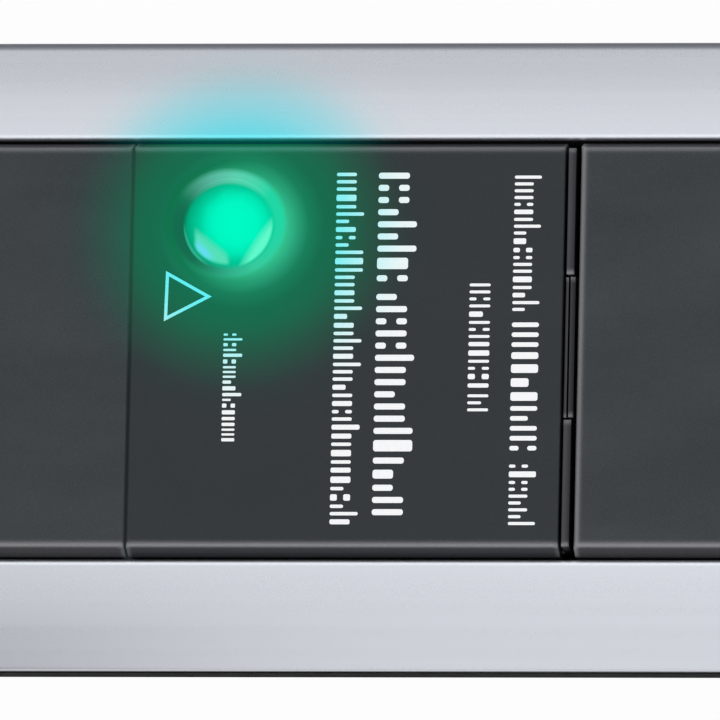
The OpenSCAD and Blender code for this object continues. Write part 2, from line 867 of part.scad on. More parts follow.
module switch_body() {
    bezel = [switch_half + bezel_w, switch_hw + bezel_w];
    pin_end = cavity_hw + 1.2;
    color(black) translate([switch_x, 0, 0]) difference() {
        union() {
            box([-switch_half, -switch_hw, switch_low_z], [switch_half, switch_hw, face_z + bezel_h]);
            box([-bezel[0], -bezel[1], face_z], [bezel[0], bezel[1], face_z + bezel_h]);
        }
        box([-cavity_half, -cavity_hw, cavity_z], [cavity_half, cavity_hw, face_z + bezel_h + 1]);
        along_y(-pin_end, pin_end) translate([0, pivot_z]) circle(r = pivot_r + pivot_gap);
    }
}

// The rocker lies tilted on its stop, with the end at +X pressed in
module rocker() {
    swing_r = 10.9;
    skirt = -4.2;
    pin_reach = rocker_hw + 1;
    hollow = [3, rocker_hw - 1.4, 1.6];
    dip = [0, 4];
    rise = [0, rocker_half * tan(rocker_tilt)];
    half = [rocker_half, 0];
    profile = [[-rocker_half, skirt], [rocker_half, skirt], dip + half + rise, dip, dip - half + rise];
    color(black) translate([switch_x, 0, pivot_z]) rotate([0, rocker_tilt, 0]) {
        difference() {
            along_y(-rocker_hw, rocker_hw) intersection() {
                polygon(profile);
                union() {
                    circle(r = swing_r);
                    translate([-rocker_half, 0]) square([2 * rocker_half, 12]);
                }
            }
            for (side = [-1, 1]) translate([side * 5.6, 0, 0]) {
                box([-hollow[0], -hollow[1], skirt - 1], hollow);
            }
        }
        along_y(-pin_reach, pin_reach) circle(r = pivot_r);
    }
}

module switch_tab(n) {
    x = switch_x + (n < 3 ? -tab_half : tab_half);
    y = n % 2 == 1 ? tab_y : -tab_y;
    half = [strip_t / 2, tab_w / 2];
    color(brass) translate([x, y, 0]) difference() {
        box([-half[0], -half[1], tab_z], [half[0], half[1], switch_low_z]);
        translate([-1, 0, tab_z + 3.5]) rotate([0, 90, 0]) cylinder(r = 0.9, h = 2);
    }
}

// Wires inside the housing

// From the terminal block to the switch's near tabs
module supply_wire(side) {
    x = switch_x - tab_half;
    y = side * tab_y;
    wire_run([[terminal_end, y, terminal_z], [x, y, terminal_z], [x, y, tab_foot_z]], wire_r);
}

// From the switch's far tabs to the board
module switched_wire(side) {
    x = switch_x + tab_half;
    y = side * tab_y;
    wire_run([[x, y, tab_foot_z], [x, y, wire_on_board_z], [board_x0 + 4, y, wire_on_board_z]], wire_r);
}

module live_supply_wire() {
    color(live_brown) supply_wire(1);
}

module neutral_supply_wire() {
    color(neutral_blue) supply_wire(-1);
}

module live_switched_wire() {
    color(live_brown) switched_wire(1);
}

module neutral_switched_wire() {
    color(neutral_blue) switched_wire(-1);
}

module earth_wire() {
    over_pocket_z = pocket_z + pocket_wall + wire_r + 0.15;
    on_bar_z = earth_top_z + wire_r + 0.05;
    high = [for (x = [terminal_end, x_surge + 1]) [x, 0, over_pocket_z]];
    low = [for (x = [x_surge + 4.5, board_x1]) [x, 0, on_bar_z]];
    color("#7fae3a") wire_run(concat(high, low), wire_r);
}

// Feet and fasteners

module foot(n) {
    x = n < 3 ? -foot_x : foot_x;
    y = n % 2 == 1 ? foot_y : -foot_y;
    chamfer = 0.4;
    color(rubber) translate([x, y, 0]) {
        cylinder(r1 = foot_r - chamfer, r2 = foot_r, h = chamfer);
        translate([0, 0, chamfer]) cylinder(r = foot_r, h = foot_h - chamfer);
    }
}

module module_screws() {
    length = module_screw_top - head_seat_z;
    color(steel) for (p = screw_places) translate([p[0], p[1], head_seat_z]) {
        screw(head_r, screw_r, length);
    }
}

module cap_screws() {
    length = cap_l + 8;
    seat = head_h + cap_head_in;
    color(steel) for (side = [-1, 1]) translate([0, side * port_c[0], port_c[1]]) {
        translate([x_cap + seat, 0, 0]) rotate([0, 90, 0]) screw(head_r, screw_r, length);
        translate([x_right - seat, 0, 0]) rotate([0, -90, 0]) screw(head_r, screw_r, length);
    }
}

module board_screws() {
    length = 5;
    color(steel) for (p = board_screw_places) translate([p[0], p[1], board_top]) {
        rotate([180, 0, 0]) screw(2.2, 1.05, length);
    }
}

base_tray();
rail_front();
rail_rear();
end_cap_left();
end_cap_right();
switch_cover();
surge_cover();
contact_carrier();
cable_gland();
socket_module(1);  // socket_module_1
socket_module(2);  // socket_module_2
socket_module(3);  // socket_module_3
socket_module(4);  // socket_module_4
socket_module(5);  // socket_module_5
shutter(1);  // shutter_1
shutter(2);  // shutter_2
shutter(3);  // shutter_3
shutter(4);  // shutter_4
shutter(5);  // shutter_5
shutter_spring(1);  // shutter_spring_1
shutter_spring(2);  // shutter_spring_2
shutter_spring(3);  // shutter_spring_3
shutter_spring(4);  // shutter_spring_4
shutter_spring(5);  // shutter_spring_5
live_busbar();
neutral_busbar();
earth_bar();
lens();
indicator_led();
surge_board();
varistor(1);  // varistor_1
varistor(2);  // varistor_2
varistor(3);  // varistor_3
thermal_fuse();
gas_tube();
capacitor();
terminal_block();
switch_body();
rocker();
switch_tab(1);  // switch_tab_1
switch_tab(2);  // switch_tab_2
switch_tab(3);  // switch_tab_3
switch_tab(4);  // switch_tab_4
live_supply_wire();
neutral_supply_wire();
live_switched_wire();
neutral_switched_wire();
earth_wire();
foot(1);  // foot_1
foot(2);  // foot_2
foot(3);  // foot_3
foot(4);  // foot_4
module_screws();
cap_screws();
board_screws();
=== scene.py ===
import json
import math
import random

import bmesh
import bpy
from mathutils import Matrix, Vector


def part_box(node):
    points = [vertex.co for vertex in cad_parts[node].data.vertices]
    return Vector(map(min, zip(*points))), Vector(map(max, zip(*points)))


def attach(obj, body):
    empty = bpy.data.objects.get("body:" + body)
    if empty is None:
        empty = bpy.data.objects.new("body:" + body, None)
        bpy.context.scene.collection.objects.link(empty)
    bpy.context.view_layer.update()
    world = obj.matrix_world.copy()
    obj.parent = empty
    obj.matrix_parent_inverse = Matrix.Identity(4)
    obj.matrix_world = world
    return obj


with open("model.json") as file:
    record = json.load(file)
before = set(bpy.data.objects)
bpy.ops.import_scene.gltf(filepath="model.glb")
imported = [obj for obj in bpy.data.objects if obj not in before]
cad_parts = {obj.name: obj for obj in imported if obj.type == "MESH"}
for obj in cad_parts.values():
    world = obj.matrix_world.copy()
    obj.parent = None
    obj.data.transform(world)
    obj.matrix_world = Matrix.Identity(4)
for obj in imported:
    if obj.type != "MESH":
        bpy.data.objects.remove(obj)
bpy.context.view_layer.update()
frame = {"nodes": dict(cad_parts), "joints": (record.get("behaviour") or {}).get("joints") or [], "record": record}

MM = 0.001


def corners(node):
    """A node's lowest and highest corners at rest, in millimetres"""
    return [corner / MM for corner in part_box(node)]


# Places on the part, in millimetres, from the frame
LED_LOW, LED_HIGH = corners("indicator_led")
COVER_LOW, COVER_HIGH = corners("surge_cover")
BASE_HIGH = corners("base_tray")[1]
LENS = ((LED_LOW.x + LED_HIGH.x) / 2, (LED_LOW.y + LED_HIGH.y) / 2)
FACE_Z = COVER_HIGH.z
GROOVE_X = (corners("switch_cover")[1].x + COVER_LOW.x) / 2
RIM_X = COVER_HIGH.x - 1.1
BEAD_Y = BASE_HIGH.y - 1.0
BEAD_LOW = BASE_HIGH.z - 3.1
BEAD_END = BASE_HIGH.x - 0.25
RAIL_EDGE_Y = corners("rail_rear")[1].y - 1.1

# The radii of the lens's dome and of the ring round it
LENS_R = 5.15
LENS_RING_R = 6.4

# The rocker's pivot, and its tilt at rest in degrees, which is half of its travel
ROCKER_JOINT = [joint for joint in frame["joints"] if joint["name"] == "rocker_tilt"][0]
PIVOT = Vector(ROCKER_JOINT["pos_m"])
ROCKER_TILT = (ROCKER_JOINT["range_deg"][1] - ROCKER_JOINT["range_deg"][0]) / 2

# Where the light that spills from the lens is strongest, as offsets from the lens
WIDE_GLOW = (1.2, -0.5)
CLOSE_GLOW = (1.5, -0.4)
CORE_GLOW = (0.9, -0.15)

# How that light falls off on black plastic and on metal, as shares of its reach in millimetres
SPILL_REACH = 24.0
SPILL_ON_BLACK = ((0.0, 1.0), (0.37, 1.0), (0.46, 0.92), (0.52, 0.81), (0.58, 0.64),
                  (0.65, 0.47), (0.71, 0.31), (0.77, 0.15), (0.83, 0.05), (0.92, 0.0))
SPILL_ON_METAL = ((0.0, 1.0), (0.37, 1.0), (0.46, 0.93), (0.52, 0.84), (0.58, 0.70),
                  (0.65, 0.54), (0.71, 0.38), (0.77, 0.20), (0.83, 0.08), (0.92, 0.0))

# What the lens's light leaves of a grey surface's own colour
LENS_TINT = (0.27, 0.9, 0.8)

# The heights between which the lens's light fades on the walls below the face
SPILL_FLOOR = FACE_Z - 8.0
SPILL_FULL = FACE_Z - 4.0


# Materials

class Surface:
    """A node material: one Principled shader, fed from the object's own coordinates"""

    def __init__(self, name, **sockets):
        self.material = bpy.data.materials.new(name)
        self.material.use_nodes = True
        self.tree = self.material.node_tree
        self.tree.nodes.clear()
        self.shader = self.add("ShaderNodeBsdfPrincipled")
        output = self.add("ShaderNodeOutputMaterial")
        self.tree.links.new(self.shader.outputs["BSDF"], output.inputs["Surface"])
        self.place = self.add("ShaderNodeTexCoord").outputs["Object"]
        for socket, value in sockets.items():
            self.shader.inputs[socket.replace("_", " ")].default_value = value

    def add(self, kind, **settings):
        node = self.tree.nodes.new(kind)
        for key, value in settings.items():
            setattr(node, key, value)
        return node

    def feed(self, value, socket):
        """Links an output, or sets a plain value"""
        if isinstance(value, bpy.types.NodeSocket):
            self.tree.links.new(value, socket)
        elif isinstance(value, (tuple, list)) and len(value) == 3 and socket.type == "RGBA":
            socket.default_value = (*value, 1.0)
        else:
            socket.default_value = value

    def maths(self, operation, a, b=0.0):
        """Numbers joined by one of the Math node's operations"""
        node = self.add("ShaderNodeMath", operation=operation)
        self.feed(a, node.inputs[0])
        self.feed(b, node.inputs[1])
        return node.outputs[0]

    def times(self, *masks):
        """The product of several masks"""
        product = masks[0]
        for mask in masks[1:]:
            product = self.maths("MULTIPLY", product, mask)
        return product

    def vector(self, operation, a, b):
        """Vectors joined by one of the Vector Math node's operations"""
        node = self.add("ShaderNodeVectorMath", operation=operation)
        self.feed(a, node.inputs[0])
        self.feed(b, node.inputs[1])
        return node.outputs["Value"] if operation in ("DISTANCE", "DOT_PRODUCT") else node.outputs[0]

    def noise(self, size_mm, detail=2.0, stretch=(1, 1, 1), roughness=0.5):
        """Noise whose lumps are about size_mm across, stretched along each axis"""
        scaled = self.vector("MULTIPLY", self.place, tuple(1 / (MM * size_mm * s) for s in stretch))
        node = self.add("ShaderNodeTexNoise")
        node.inputs["Scale"].default_value = 1.0
        node.inputs["Detail"].default_value = detail
        node.inputs["Roughness"].default_value = roughness
        self.feed(scaled, node.inputs["Vector"])
        return node.outputs["Fac"]

    def cells(self, size_mm, stretch=(1, 1, 1)):
        """The distance to the nearest of many points about size_mm apart"""
        scaled = self.vector("MULTIPLY", self.place, tuple(1 / (MM * size_mm * s) for s in stretch))
        node = self.add("ShaderNodeTexVoronoi")
        node.inputs["Scale"].default_value = 1.0
        self.feed(scaled, node.inputs["Vector"])
        return node.outputs["Distance"]

    def span(self, value, low, high, to_low=0.0, to_high=1.0):
        """to_low where value is low, to_high where it is high, even in between and level beyond"""
        node = self.add("ShaderNodeMapRange")
        self.feed(value, node.inputs["Value"])
        for socket, number in zip(("From Min", "From Max", "To Min", "To Max"), (low, high, to_low, to_high)):
            node.inputs[socket].default_value = number
        return node.outputs["Result"]

    def ramp(self, value, stops):
        """Colours along value, from stops of places and colours"""
        node = self.add("ShaderNodeValToRGB")
        ramp = node.color_ramp
        for k, (at, colour) in enumerate(stops):
            stop = ramp.elements[k] if k < 2 else ramp.elements.new(at)
            stop.position = at
            stop.color = (*colour, 1.0)
        self.feed(value, node.inputs["Fac"])
        return node.outputs["Color"]

    def mix(self, factor, a, b, blend="MIX"):
        """a where factor is 0, and b, or a blended with b, where it is 1"""
        node = self.add("ShaderNodeMix", data_type="RGBA", blend_type=blend)
        self.feed(factor, node.inputs[0])
        self.feed(a, node.inputs[6])
        self.feed(b, node.inputs[7])
        return node.outputs[2]

    def now(self, socket):
        """What feeds one of the shader's sockets so far"""
        return self.shader.inputs[socket].links[0].from_socket

    def colour(self, value):
        self.feed(value, self.shader.inputs["Base Color"])

    def emit(self, value):
        """Light of its own, at full strength"""
        self.feed(value, self.shader.inputs["Emission Color"])
        self.shader.inputs["Emission Strength"].default_value = 1.0

    def rough(self, value):
        self.feed(value, self.shader.inputs["Roughness"])

    def bump(self, height, depth_mm, under=None):
        """Relief in the shading, on top of the relief under it"""
        node = self.add("ShaderNodeBump")
        node.inputs["Strength"].default_value = 1.0
        node.inputs["Distance"].default_value = depth_mm * MM
        self.feed(height, node.inputs["Height"])
        if under is not None:
            self.feed(under, node.inputs["Normal"])
        self.feed(node.outputs["Normal"], self.shader.inputs["Normal"])
        return node.outputs["Normal"]

    def soft_edges(self, radius_mm):
        """Rounds the shading over sharp edges, as moulding and pressing leave them"""
        node = self.add("ShaderNodeBevel", samples=4)
        node.inputs["Radius"].default_value = radius_mm * MM
        self.feed(node.outputs["Normal"], self.shader.inputs["Normal"])
        return node.outputs["Normal"]

    def edge_highlight_mask(self, width_mm, sides):
        """A mask along moulded edges for painted highlights. sides gives its strength for edges that face +Y, -Y
        and -X
        """
        node = self.add("ShaderNodeBevel", samples=6)
        node.inputs["Radius"].default_value = width_mm * MM
        parts = self.add("ShaderNodeSeparateXYZ")
        self.feed(node.outputs["Normal"], parts.inputs[0])
        total = 0.0
        for output, turn, strength in (("Y", 1, sides[0]), ("Y", -1, sides[1]), ("X", -1, sides[2])):
            if strength:
                # The rounded edge leans from 0 on the face to 1 on the wall, and shines in between
                lean = self.maths("MULTIPLY", parts.outputs[output], turn)
                rise = self.span(lean, 0.1, 0.42, 0.0, strength)
                fall = self.span(lean, 0.74, 0.92, 1.0, 0.0)
                total = self.maths("ADD", self.times(rise, fall), total)
        return self.times(total, self.span(parts.outputs["Z"], 0.15, 0.4))

    def axis(self, name):
        """One of the object's own coordinates, in millimetres"""
        node = self.add("ShaderNodeSeparateXYZ")
        self.feed(self.place, node.inputs[0])
        return self.maths("MULTIPLY", node.outputs[name], 1 / MM)

    def facing(self, name):
        """One part of the surface's own direction, from -1 to 1"""
        node = self.add("ShaderNodeSeparateXYZ")
        self.feed(self.add("ShaderNodeTexCoord").outputs["Normal"], node.inputs[0])
        return node.outputs[name]

    def from_lens(self, offset, squash=1.0):
        """Millimetres, in plan, from a point near the lens. squash above 1 flattens the circles round it"""
        x, y = LENS[0] + offset[0], LENS[1] + offset[1]
        flat = self.vector("MULTIPLY", self.place, (1 / MM, squash / MM, 0.0))
        return self.vector("DISTANCE", flat, (x, y * squash, 0.0))

    def from_lens_in_radii(self):
        """The way from the lens's middle, in plan, in radii of its dome"""
        per_radius = 1 / (LENS_R * MM)
        way = self.vector("SUBTRACT", self.place, (LENS[0] * MM, LENS[1] * MM, 0.0))
        return self.vector("MULTIPLY", way, (per_radius, per_radius, 0.0))

    def spill(self, stops=SPILL_ON_BLACK):
        """How much of the lens's light reaches a place, from 1 down to 0"""
        reach = self.span(self.from_lens(WIDE_GLOW), 0.0, SPILL_REACH)
        return self.ramp(reach, [(at, (v, v, v)) for at, v in stops])


def shade(colour, factor):
    """A colour made darker or brighter"""
    return tuple(min(1.0, c * factor) for c in colour)


def plastic(name, colour, roughness, grain_mm=0.0, grain_depth=0.0, edge=0.12, mottle=0.12, lit=0.0,
            **sockets):
    """Moulded plastic: faint flow mottling, and a spark-eroded grain where grain_mm is given"""
    s = Surface(name, Roughness=roughness, **sockets)
    flow = s.noise(9.0, detail=3.0, stretch=(3, 1, 1))
    base = s.ramp(flow, [(0.3, shade(colour, 1 - mottle)), (0.7, shade(colour, 1 + mottle))])
    s.rough(s.span(s.noise(2.2, detail=2.0), 0.3, 0.7, roughness * 0.93, roughness * 1.07))
    under = s.soft_edges(edge)
    if grain_mm:
        pits = s.cells(grain_mm)
        fine = s.noise(grain_mm * 0.7, detail=3.0, roughness=0.6)
        height = s.maths("ADD", s.maths("MULTIPLY", pits, 0.6), fine)
        under = s.bump(height, grain_depth, under=under)
        speck = s.span(height, 0.55, 1.15, 0.86, 1.16)
        base = s.mix(1.0, base, speck, blend="MULTIPLY")
    if lit:
        reach = s.times(s.spill(), s.span(s.axis("Z"), SPILL_FLOOR, SPILL_FULL))
        base = s.mix(reach, base, s.mix(1.0, base, LENS_TINT, blend="MULTIPLY"))
        s.feed(s.mix(reach, (1.0, 1.0, 1.0), (0.12, 0.9, 0.9)), s.shader.inputs["Specular Tint"])
        s.emit(glow_colour(s, reach, lit))
    s.colour(base)
    return s


def glow_colour(s, reach, strength):
    """The green that the lens throws on black plastic"""
    green = (0.0, 0.118 * strength, 0.041 * strength)
    return s.ramp(reach, [(0.0, (0, 0, 0)), (0.15, shade(green, 0.05)), (0.47, shade(green, 0.32)),
                          (0.81, shade(green, 0.72)), (1.0, green)])


# The painted highlight along moulded edges, its width in millimetres and its colour, and the painted faint light
# in the parting groove without and with the lens's
EDGE_W = 1.1
EDGE_HIGHLIGHT_PALE = (0.36, 0.357, 0.37)
SEAM_GREY = (0.013, 0.016, 0.0175)
SEAM_GREEN = (0.014, 0.075, 0.048)


def paint_edge_highlights(s, sides):
    """Painted highlights as pale lines along the edges of the black plastic, and warmer walls below them"""
    # Painted highlight: pale lines along the edges, strongest on those facing the front
    line = s.edge_highlight_mask(EDGE_W, sides)
    under = s.now("Base Color")
    # The walls below the edges are a shade warmer than the faces
    wall = s.span(s.facing("Z"), 0.3, 0.6, 1.0, 0.0)
    under = s.mix(wall, under, s.mix(1.0, under, (1.12, 0.94, 0.93), blend="MULTIPLY"))
    pale = s.mix(s.spill(), EDGE_HIGHLIGHT_PALE, tuple(p * q for p, q in zip(EDGE_HIGHLIGHT_PALE, LENS_TINT)))
    s.colour(s.mix(line, under, pale))
    # Painted light in the parting groove beside the arrester, so that it isn't quite black
    off = s.maths("ABSOLUTE", s.maths("SUBTRACT", s.axis("X"), GROOVE_X))
    groove_light_mask = s.times(s.span(off, 0.3, 0.7, 1.0, 0.0), wall)
    s.emit(s.mix(groove_light_mask, s.now("Emission Color"), s.mix(s.spill(), SEAM_GREY, SEAM_GREEN)))


def base_plastic():
    """The base's grained plastic, darkest on the bead, which lies in the rails' shade"""
    s = plastic("base_black", (0.028, 0.030, 0.033), 0.55, grain_mm=0.25, grain_depth=0.008, lit=0.5)
    bead = s.times(s.span(s.maths("ABSOLUTE", s.axis("Y")), BEAD_Y - 0.4, BEAD_Y),
                   s.span(s.axis("Z"), BEAD_LOW - 0.5, BEAD_LOW),
                   s.span(s.maths("ABSOLUTE", s.axis("X")), BEAD_END, BEAD_END + 0.2, 1.0, 0.0))
    s.colour(s.mix(bead, s.now("Base Color"), (0.006, 0.0065, 0.0075)))
    s.feed(s.span(bead, 0.0, 1.0, 0.2, 0.01), s.shader.inputs["Specular IOR Level"])
    return s


def covers():
    """The grained covers of the switch and the sockets"""
    s = plastic("cover_black", (0.0515, 0.0595, 0.0655), 0.5, grain_mm=0.16, grain_depth=0.012, edge=0.05,
                lit=0.75, Specular_IOR_Level=0.16)
    # Painted highlights along the edges, strongest on those facing the front
    paint_edge_highlights(s, (0.6, 1.0, 0.8))
    return s


def ring_glow(s):
    """The light on the ring round the lens: brightest on the right, palest at the rear, dark on the left"""
    arm = s.vector("NORMALIZE", s.from_lens_in_radii(), (0.0, 0.0, 0.0))
    bright = math.radians(12)
    towards = s.vector("DOT_PRODUCT", arm, (math.cos(bright), math.sin(bright), 0.0))
    wall = s.ramp(s.span(towards, -1.0, 1.0), [
        (0.0, (0.004, 0.140, 0.068)), (0.08, (0.005, 0.155, 0.076)), (0.14, (0.008, 0.20, 0.10)),
        (0.30, (0.020, 0.33, 0.19)), (0.42, (0.030, 0.42, 0.25)), (0.66, (0.036, 0.57, 0.33)),
        (1.0, (0.012, 0.67, 0.37))])
    far = s.ramp(s.span(s.vector("DOT_PRODUCT", arm, (-0.05, 0.995, 0.0)), 0.55, 1.0), [
        (0.0, (0, 0, 0)), (1.0, (0.07, 0.05, 0.095))])
    return s.mix(1.0, wall, far, blend="ADD")


def surge_face():
    """The arrester's smooth face, with the lens's light on it, on the ring round the lens and close to it"""
    s = plastic("surge_face", (0.0355, 0.0425, 0.0475), 0.38, grain_mm=0.09, grain_depth=0.0012, edge=0.04,
                mottle=0.05, lit=1.0, Specular_IOR_Level=0.13)
    close = s.span(s.from_lens(CLOSE_GLOW), 4.0, 9.4)
    halo = s.ramp(close, [(0.0, (0.05, 0.56, 0.30)), (0.2, (0.03, 0.40, 0.22)), (0.43, (0.014, 0.20, 0.11)),
                          (0.68, (0.002, 0.055, 0.026)), (1.0, (0, 0, 0))])
    lit = s.mix(1.0, s.now("Emission Color"), halo, blend="ADD")
    in_ring = s.span(s.from_lens((0, 0), squash=1.06), LENS_RING_R - 0.3, LENS_RING_R + 0.35, 1.0, 0.0)
    s.emit(s.mix(in_ring, lit, ring_glow(s)))
    s.feed(s.mix(in_ring, s.now("Specular Tint"), (0.02, 0.1, 0.1)), s.shader.inputs["Specular Tint"])
    # The rim beyond the face carries painted shading: paler than the face as if lit, lightest just past its left
    # edge and darker to the right, so that it looks rounded
    along = s.axis("X")
    rim = s.span(along, RIM_X - 0.1, RIM_X, 0.0, 1.0)
    rounded = s.ramp(s.span(along, RIM_X, RIM_X + 1.0), [
        (0.0, (0.03, 0.03, 0.033)), (0.2, (0.078, 0.078, 0.085)), (0.5, (0.058, 0.058, 0.064)),
        (1.0, (0.018, 0.018, 0.021))])
    s.colour(s.mix(rim, s.now("Base Color"), rounded))
    # Painted highlights along the front and rear edges
    paint_edge_highlights(s, (0.6, 1.0, 0.0))
    # Round the lens only its own light counts
    around = s.span(s.from_lens((0, 0)), LENS_RING_R + 0.4, LENS_RING_R + 1.2, 1.0, 0.0)
    s.colour(s.mix(around, s.now("Base Color"), (0.004, 0.010, 0.008)))
    return s


def rail_metal(name, lit, shade_outer_edge):
    """Extruded aluminium, blasted and anodised: a fine even grain over very faint lengthwise draw lines, with
    painted shade on its steep sides and, where asked, along its outer edge
    """
    s = Surface(name, Metallic=1.0, Roughness=0.3, Anisotropic=0.8)
    lengthwise = s.add("ShaderNodeTangent", direction_type="RADIAL", axis="X")
    s.feed(lengthwise.outputs[0], s.shader.inputs["Tangent"])
    colour = (0.700, 0.722, 0.775)
    draw = s.noise(1.6, detail=4.0, stretch=(160, 1, 1), roughness=0.6)
    base = s.ramp(draw, [(0.3, shade(colour, 0.985)), (0.7, shade(colour, 1.012))])
    # Painted shade: the steep outer sides are darkened, down to a fifth
    steep_side_shade = s.ramp(s.span(s.facing("Z"), 0.05, 0.45), [(0.0, (0.2, 0.205, 0.21)), (1.0, (1.0, 1.0, 1.0))])
    base = s.mix(1.0, base, steep_side_shade, blend="MULTIPLY")
    if shade_outer_edge:
        # Painted shade: the rail darkens towards its outer edge
        rim = s.ramp(s.span(s.axis("Y"), RAIL_EDGE_Y, RAIL_EDGE_Y + 1.0), [
            (0.07, (1.0, 1.0, 1.0)), (0.22, (0.82, 0.82, 0.83)), (0.44, (0.46, 0.46, 0.48)),
            (0.64, (0.32, 0.32, 0.34))])
        base = s.mix(1.0, base, rim, blend="MULTIPLY")
    grain = s.noise(0.12, detail=3.0, roughness=0.6)
    s.rough(s.maths("ADD", s.span(grain, 0.3, 0.7, 0.27, 0.33), s.span(draw, 0.3, 0.7, -0.02, 0.02)))
    under = s.soft_edges(0.3)
    under = s.bump(draw, 0.0012, under=under)
    s.bump(grain, 0.0006, under=under)
    if lit:
        reach = s.spill(SPILL_ON_METAL)
        tinted = s.mix(1.0, base, (0.18, 0.98, 1.02), blend="MULTIPLY")
        base = s.mix(reach, base, tinted)
        s.emit(s.mix(reach, (0, 0, 0), (0.0, 0.035, 0.045)))
    s.colour(base)
    return s


def bare_metal(name, colour, roughness, tarnish):
    """Stamped or drawn metal with faint scratches and duller patches"""
    s = Surface(name, Metallic=1.0, Roughness=roughness)
    patches = s.noise(3.5, detail=4.0)
    s.colour(s.ramp(patches, [(0.35, shade(colour, 1 - tarnish)), (0.65, colour)]))
    scratch = s.noise(0.35, detail=3.0, stretch=(9, 1, 1))
    s.rough(s.maths("ADD", s.span(patches, 0.3, 0.7, roughness * 1.15, roughness * 0.85),
                    s.span(scratch, 0.3, 0.7, -0.04, 0.04)))
    s.bump(scratch, 0.004, under=s.soft_edges(0.08))
    return s


def beyond(s, azimuth, low, high):
    """A soft straight edge across the dome: 1 beyond it, towards azimuth, with distances in dome radii"""
    a = math.radians(azimuth)
    return s.span(s.vector("DOT_PRODUCT", s.from_lens_in_radii(), (math.cos(a), math.sin(a), 0.0)), low, high)


def lens_plastic():
    """Clear green plastic, lit from behind, brightest a little to the right of its middle, with painted
    reflections low on its dome
    """
    s = Surface("lens_green", Roughness=0.05, IOR=1.5)
    core = s.span(s.from_lens(CORE_GLOW), 0.0, 6.2)
    swirl = s.noise(1.4, detail=2.0)
    glow = s.ramp(s.maths("ADD", core, s.span(swirl, 0.3, 0.7, -0.015, 0.015)), [
        (0.0, (0.0, 0.94, 0.54)), (0.40, (0.0, 0.89, 0.51)), (0.55, (0.0, 0.76, 0.43)),
        (0.68, (0.0, 0.57, 0.31)), (0.82, (0.0, 0.44, 0.23)), (0.95, (0.0, 0.34, 0.16))])
    s.colour(s.ramp(core, [(0.0, (0.0, 0.05, 0.03)), (1.0, (0.0, 0.03, 0.02))]))
    # Painted reflections of two soft windows low on the dome, cut straight on the inside, with a blue streak in
    # the left one, and a painted pale highlight along the dome's lower left rim
    out = s.from_lens((0.0, 0.0))
    left = s.times(beyond(s, 232, 0.50, 0.64), beyond(s, 359, -0.76, -0.66), beyond(s, 180, -0.06, 0.04),
                   s.span(out, LENS_R * 0.86, LENS_R * 0.93, 1.0, 0.0))
    right = s.times(beyond(s, 327, 0.68, 0.84), s.span(out, LENS_R * 0.93, LENS_R * 0.98, 1.0, 0.0))
    rim = s.times(s.span(out, LENS_R * 0.94, LENS_R * 0.97, 0.0, 0.5), beyond(s, 212, 0.82, 0.95))
    painted_streak = s.times(left, beyond(s, 223, 0.68, 0.80), beyond(s, 43, -0.96, -0.84),
                     beyond(s, -47, -0.25, -0.05), beyond(s, 133, -0.45, -0.2))
    # The dome's edge melts into the ring
    melt = s.span(s.from_lens((0.05, -0.16), squash=1.048), LENS_R * 0.93, LENS_R * 1.02, 0.0, 0.9)
    glow = s.mix(melt, glow, ring_glow(s))
    for mask, colour in ((left, (0.09, 0.72, 0.47)), (painted_streak, (0.12, 0.70, 0.86)),
                         (right, (0.12, 0.92, 0.58)), (rim, (0.05, 0.60, 0.42))):
        glow = s.mix(mask, glow, colour)
    s.emit(glow)
    s.shader.inputs["Specular Tint"].default_value = (0.0, 0.12, 0.12, 1.0)
    s.feed(s.span(out, LENS_R * 0.8, LENS_R * 0.96, 0.15, 0.0), s.shader.inputs["Specular IOR Level"])
    s.bump(swirl, 0.01)
    return s


def clear_led():
    """The lamp under the lens"""
    s = plastic("led_clear", (0.55, 0.9, 0.75), 0.12, Transmission_Weight=0.6, IOR=1.5)
    glow = s.noise(1.0)
    s.feed(s.ramp(glow, [(0.3, (0.0, 0.5, 0.3)), (0.7, (0.0, 0.7, 0.4))]), s.shader.inputs["Emission Color"])
    s.shader.inputs["Emission Strength"].default_value = 0.6
    return s


def circuit_board():
    """Green solder mask with faint copper tracks under it"""
    s = plastic("board_green", (0.02, 0.15, 0.07), 0.35)
    weave = s.cells(2.4, stretch=(1, 2, 1))
    track = s.span(weave, 0.28, 0.32)
    s.colour(s.ramp(track, [(0.0, (0.035, 0.21, 0.09)), (1.0, (0.016, 0.12, 0.055))]))
    return s


def print_ink():
    """White screen print, slightly uneven, with a faint painted glow, tinted where the lens's light falls on it"""
    s = Surface("print_white", Roughness=0.5)
    patchy = s.noise(0.5, detail=3.0)
    base = s.ramp(patchy, [(0.3, (0.90, 0.91, 0.92)), (0.7, (0.94, 0.95, 0.96))])
    reach = s.spill()
    s.colour(s.mix(reach, base, s.mix(1.0, base, (0.13, 1.0, 1.0), blend="MULTIPLY")))
    s.bump(patchy, 0.003)
    # Painted light: the print glows faintly grey, and green-blue where the lens's light falls on it
    s.emit(s.mix(reach, (0.2, 0.2, 0.2), (0.0, 0.16, 0.18)))
    return s


